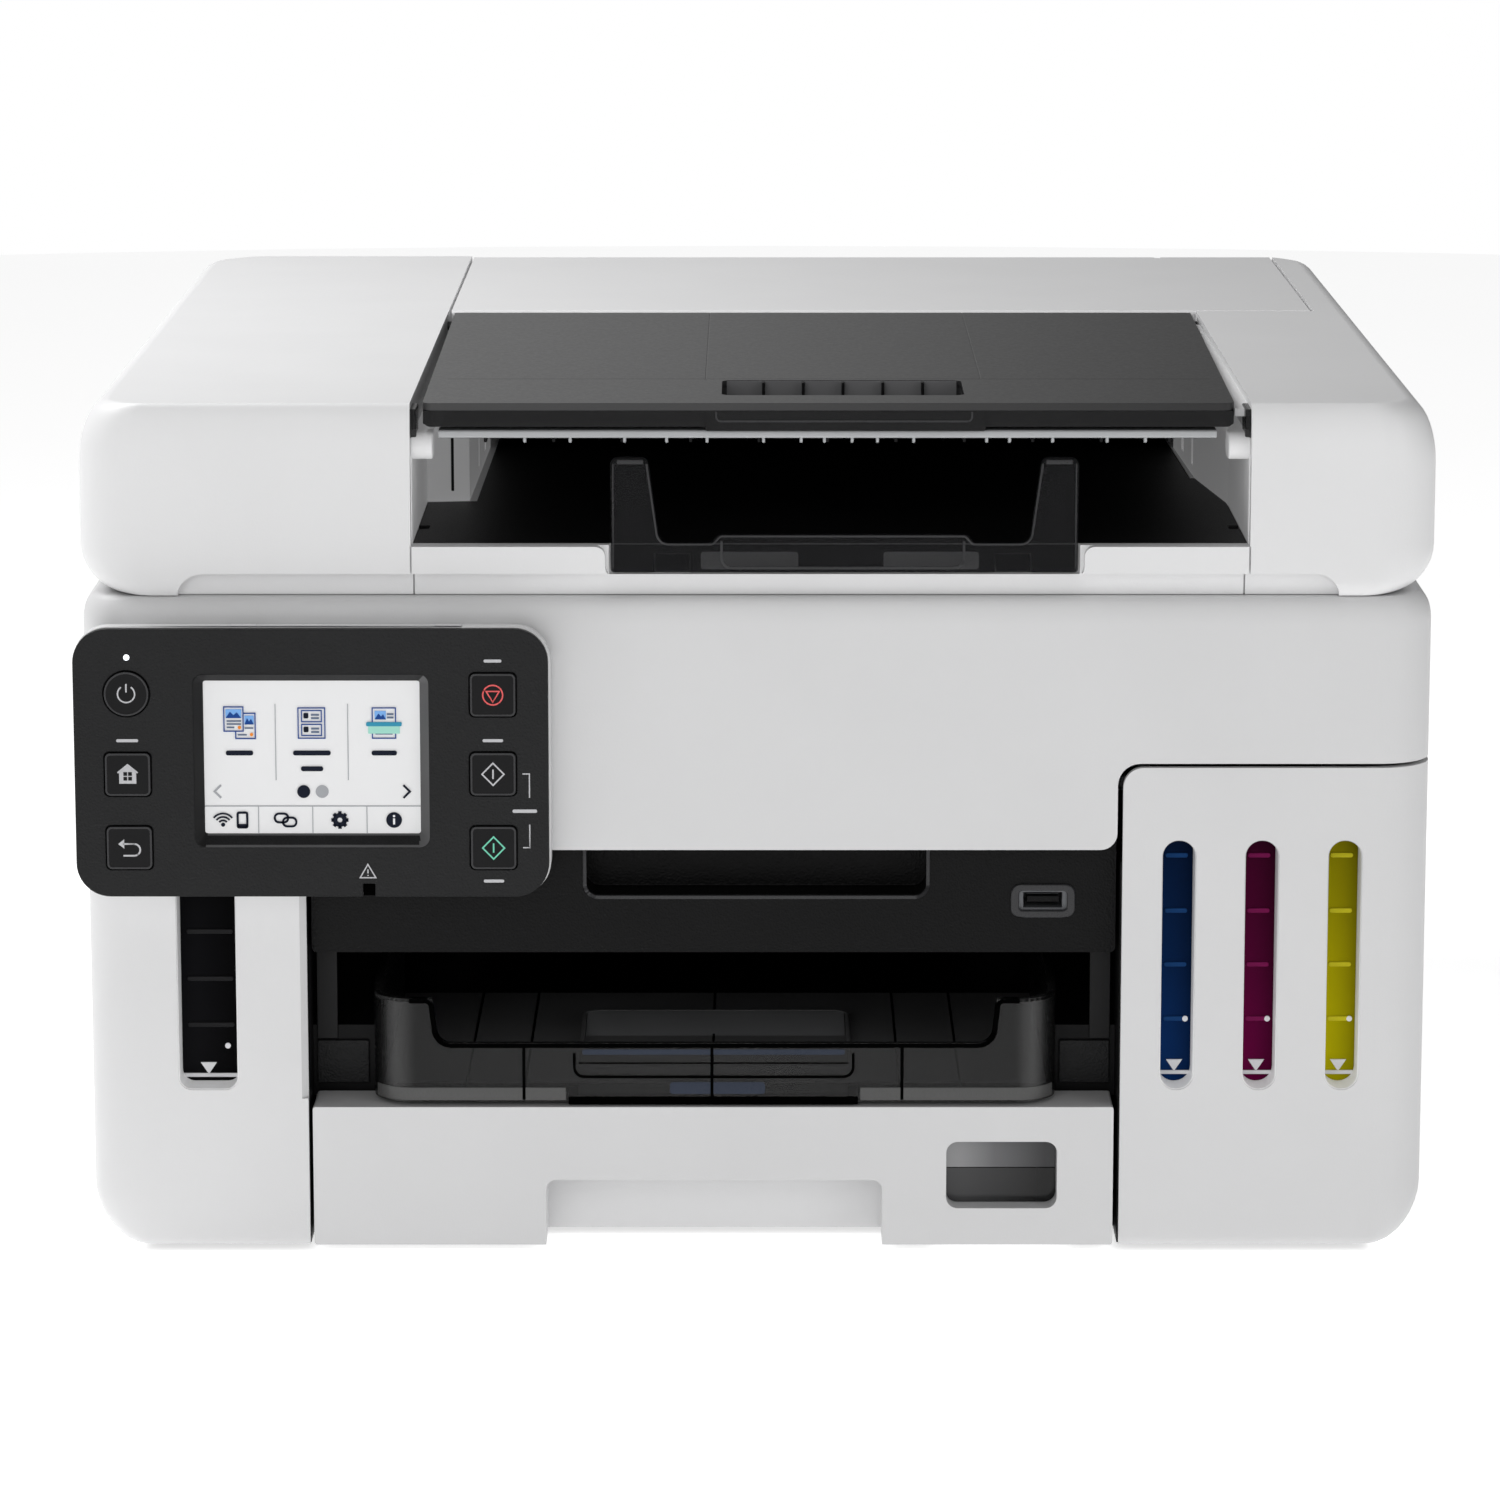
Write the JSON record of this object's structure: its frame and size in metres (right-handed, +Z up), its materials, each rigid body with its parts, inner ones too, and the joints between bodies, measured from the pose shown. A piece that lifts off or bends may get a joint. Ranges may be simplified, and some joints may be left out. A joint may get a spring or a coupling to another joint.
{
  "type": "inkjet printer",
  "caption": "Desktop inkjet printer with flatbed scanner, sheet feeder, refillable ink tanks, tilting touch panel, front cassette and smoked output tray.",
  "frame": {"origin": "centre of the footprint, on the surface the printer stands on", "axes": "+Z up, -Y towards the user, +X to the user's right"},
  "size_m": [0.399, 0.41, 0.255],
  "materials": {
    "case_white": "fine-grained matt",
    "lid_white": "fine-grained matt",
    "frame_black": "matt",
    "charcoal": "fine leather grain",
    "key_black": "satin",
    "smoked": "smoked translucent",
    "grey_plastic": "satin",
    "steel": "brushed",
    "board_green": "solder mask",
    "belt_rubber": "matt",
    "foot_rubber": "matt",
    "brass": "machined",
    "ink_black": "filled clear tank",
    "ink_cyan": "filled clear tank",
    "ink_magenta": "filled clear tank",
    "ink_yellow": "filled clear tank",
    "cap_black": "satin",
    "cap_cyan": "satin",
    "cap_magenta": "satin",
    "cap_yellow": "satin",
    "glass": "clear",
    "lcd": "lit display",
    "pad_white": "foam sheet",
    "roller_rubber": "ground"
  },
  "bodies": {
    "chassis": {"base_frame": "frame_black", "left_cover": "case_white", "right_cover": "case_white", "rear_panel": "case_white", "front_panel": "frame_black", "connectors": "grey_plastic", "rubber_feet": "foot_rubber", "main_board": "board_green", "power_supply": "steel", "print_platen": "frame_black", "carriage_rail": "steel", "timing_belts": "belt_rubber", "drive_motors": "steel", "purge_unit": "frame_black", "ink_tank_black": "ink_black", "ink_tank_cyan": "ink_cyan", "ink_tank_magenta": "ink_magenta", "ink_tank_yellow": "ink_yellow"},
    "tank_cap_black": {"tank_cap_black": "cap_black"},
    "tank_cap_cyan": {"tank_cap_cyan": "cap_cyan"},
    "tank_cap_magenta": {"tank_cap_magenta": "cap_magenta"},
    "tank_cap_yellow": {"tank_cap_yellow": "cap_yellow"},
    "rear_cover": {"rear_cover": "frame_black"},
    "maintenance_cartridge": {"maintenance_cartridge": "grey_plastic"},
    "carriage": {"carriage": "frame_black", "print_head": "grey_plastic"},
    "motor_pulley": {"motor_pulley": "steel"},
    "idler_pulley": {"idler_pulley": "grey_plastic"},
    "feed_roller": {"feed_roller": "roller_rubber"},
    "eject_roller": {"eject_roller": "roller_rubber"},
    "motor_pinion": {"motor_pinion": "brass"},
    "pickup_roller": {"pickup_roller": "roller_rubber"},
    "cassette": {"cassette_tray": "frame_black", "cassette_front": "case_white", "cassette_window": "smoked"},
    "lift_plate": {"lift_plate": "steel"},
    "paper_guide_left": {"paper_guide_left": "grey_plastic"},
    "paper_guide_right": {"paper_guide_right": "grey_plastic"},
    "length_guide": {"length_guide": "grey_plastic"},
    "output_tray": {"output_tray": "smoked"},
    "scanner_unit": {"scanner_housing": "case_white", "platen_glass": "glass"},
    "scan_bar": {"scan_bar": "frame_black"},
    "control_panel": {"panel_housing": "case_white", "panel_face": "charcoal", "lcd_screen": "lcd"},
    "power_button": {"power_button": "key_black"},
    "home_button": {"home_button": "key_black"},
    "back_button": {"back_button": "key_black"},
    "stop_button": {"stop_button": "key_black"},
    "mono_button": {"mono_button": "key_black"},
    "colour_button": {"colour_button": "key_black"},
    "lid": {"lid_shell": "lid_white", "adf_frame": "grey_plastic", "adf_floor": "frame_black", "pressure_pad": "pad_white"},
    "adf_stopper": {"adf_stopper": "smoked"},
    "document_tray": {"document_tray": "smoked"},
    "feeder_cover": {"feeder_cover": "lid_white"},
    "adf_roller": {"adf_roller": "roller_rubber"}
  },
  "joints": [
    {"name": "scanner_unit_hinge", "type": "hinge", "parent": "chassis", "child": "scanner_unit", "pos_m": [0, 0.1942, 0.1518], "axis": [-1, 0, 0], "range_deg": [0, 40]},
    {"name": "lid_hinge", "type": "hinge", "parent": "scanner_unit", "child": "lid", "pos_m": [0, 0.198, 0.203], "axis": [-1, 0, 0], "range_deg": [0, 75]},
    {"name": "document_tray_hinge", "type": "hinge", "parent": "lid", "child": "document_tray", "pos_m": [0, 0.03, 0.251], "axis": [-1, 0, 0], "range_deg": [0, 110]},
    {"name": "feeder_cover_hinge", "type": "hinge", "parent": "lid", "child": "feeder_cover", "pos_m": [0, 0.198, 0.248], "axis": [-1, 0, 0], "range_deg": [0, 70]},
    {"name": "stopper_slide", "type": "slide", "parent": "lid", "child": "adf_stopper", "axis": [0, -1, 0], "range_m": [0, 0.05]},
    {"name": "adf_roller_spin", "type": "hinge", "parent": "lid", "child": "adf_roller", "pos_m": [0, 0.11, 0.23], "axis": [1, 0, 0], "continuous": true},
    {"name": "scan_bar_slide", "type": "slide", "parent": "scanner_unit", "child": "scan_bar", "axis": [0, -1, 0], "range_m": [0, 0.3]},
    {"name": "panel_tilt", "type": "hinge", "parent": "scanner_unit", "child": "control_panel", "pos_m": [0, -0.1975, 0.186], "axis": [-1, 0, 0], "range_deg": [0, 70]},
    {"name": "power_press", "type": "slide", "parent": "control_panel", "child": "power_button", "axis": [0, 1, 0], "range_m": [0, 0.001], "stiffness_N_per_m": 250, "springref_m": -0.001},
    {"name": "home_press", "type": "slide", "parent": "control_panel", "child": "home_button", "axis": [0, 1, 0], "range_m": [0, 0.001], "stiffness_N_per_m": 250, "springref_m": -0.001},
    {"name": "back_press", "type": "slide", "parent": "control_panel", "child": "back_button", "axis": [0, 1, 0], "range_m": [0, 0.001], "stiffness_N_per_m": 250, "springref_m": -0.001},
    {"name": "stop_press", "type": "slide", "parent": "control_panel", "child": "stop_button", "axis": [0, 1, 0], "range_m": [0, 0.001], "stiffness_N_per_m": 250, "springref_m": -0.001},
    {"name": "mono_press", "type": "slide", "parent": "control_panel", "child": "mono_button", "axis": [0, 1, 0], "range_m": [0, 0.001], "stiffness_N_per_m": 250, "springref_m": -0.001},
    {"name": "colour_press", "type": "slide", "parent": "control_panel", "child": "colour_button", "axis": [0, 1, 0], "range_m": [0, 0.001], "stiffness_N_per_m": 250, "springref_m": -0.001},
    {"name": "cap_black_hinge", "type": "hinge", "parent": "chassis", "child": "tank_cap_black", "pos_m": [-0.163, -0.1525, 0.136], "axis": [-1, 0, 0], "range_deg": [0, 95]},
    {"name": "cap_cyan_hinge", "type": "hinge", "parent": "chassis", "child": "tank_cap_cyan", "pos_m": [0.1245, -0.1525, 0.136], "axis": [-1, 0, 0], "range_deg": [0, 95]},
    {"name": "cap_magenta_hinge", "type": "hinge", "parent": "chassis", "child": "tank_cap_magenta", "pos_m": [0.149, -0.1525, 0.136], "axis": [-1, 0, 0], "range_deg": [0, 95]},
    {"name": "cap_yellow_hinge", "type": "hinge", "parent": "chassis", "child": "tank_cap_yellow", "pos_m": [0.1735, -0.1525, 0.136], "axis": [-1, 0, 0], "range_deg": [0, 95]},
    {"name": "carriage_slide", "type": "slide", "parent": "chassis", "child": "carriage", "axis": [-1, 0, 0], "range_m": [0, 0.25]},
    {"name": "motor_pulley_spin", "type": "hinge", "parent": "chassis", "child": "motor_pulley", "pos_m": [-0.115, 0.072, 0.1], "axis": [0, -1, 0], "range_deg": [0, 2390]},
    {"name": "idler_pulley_spin", "type": "hinge", "parent": "chassis", "child": "idler_pulley", "pos_m": [0.182, 0.072, 0.1], "axis": [0, -1, 0], "range_deg": [0, 2390]},
    {"name": "feed_roller_spin", "type": "hinge", "parent": "chassis", "child": "feed_roller", "pos_m": [0, 0.082, 0.076], "axis": [1, 0, 0], "continuous": true},
    {"name": "eject_roller_spin", "type": "hinge", "parent": "chassis", "child": "eject_roller", "pos_m": [0, -0.018, 0.074], "axis": [1, 0, 0], "continuous": true},
    {"name": "motor_pinion_spin", "type": "hinge", "parent": "chassis", "child": "motor_pinion", "pos_m": [-0.15, 0.12, 0.04], "axis": [1, 0, 0], "continuous": true},
    {"name": "pickup_roller_spin", "type": "hinge", "parent": "chassis", "child": "pickup_roller", "pos_m": [0, 0.098, 0.056], "axis": [1, 0, 0], "continuous": true},
    {"name": "cassette_slide", "type": "slide", "parent": "chassis", "child": "cassette", "axis": [0, -1, 0], "range_m": [0, 0.25]},
    {"name": "lift_plate_hinge", "type": "hinge", "parent": "cassette", "child": "lift_plate", "pos_m": [0, -0.058, 0.01], "axis": [1, 0, 0], "range_deg": [0, 8]},
    {"name": "paper_guide_left_slide", "type": "slide", "parent": "cassette", "child": "paper_guide_left", "axis": [1, 0, 0], "range_m": [0, 0.055]},
    {"name": "paper_guide_right_slide", "type": "slide", "parent": "cassette", "child": "paper_guide_right", "axis": [-1, 0, 0], "range_m": [0, 0.055]},
    {"name": "length_guide_slide", "type": "slide", "parent": "cassette", "child": "length_guide", "axis": [0, 1, 0], "range_m": [0, 0.08]},
    {"name": "output_tray_slide", "type": "slide", "parent": "chassis", "child": "output_tray", "axis": [0, -1, 0], "range_m": [0, 0.1]},
    {"name": "rear_cover_slide", "type": "slide", "parent": "chassis", "child": "rear_cover", "axis": [0, 1, 0], "range_m": [0, 0.05]},
    {"name": "maintenance_cartridge_slide", "type": "slide", "parent": "chassis", "child": "maintenance_cartridge", "axis": [0, 1, 0], "range_m": [0, 0.09]}
  ],
  "couplings": [
    {"joint": "motor_pulley_spin", "follows": "carriage_slide", "rad_per_m": 166.67},
    {"joint": "idler_pulley_spin", "follows": "carriage_slide", "rad_per_m": 166.67},
    {"joint": "eject_roller_spin", "follows": "feed_roller_spin", "ratio": 1},
    {"joint": "motor_pinion_spin", "follows": "feed_roller_spin", "ratio": 1},
    {"joint": "paper_guide_right_slide", "follows": "paper_guide_left_slide", "ratio": 1}
  ]
}
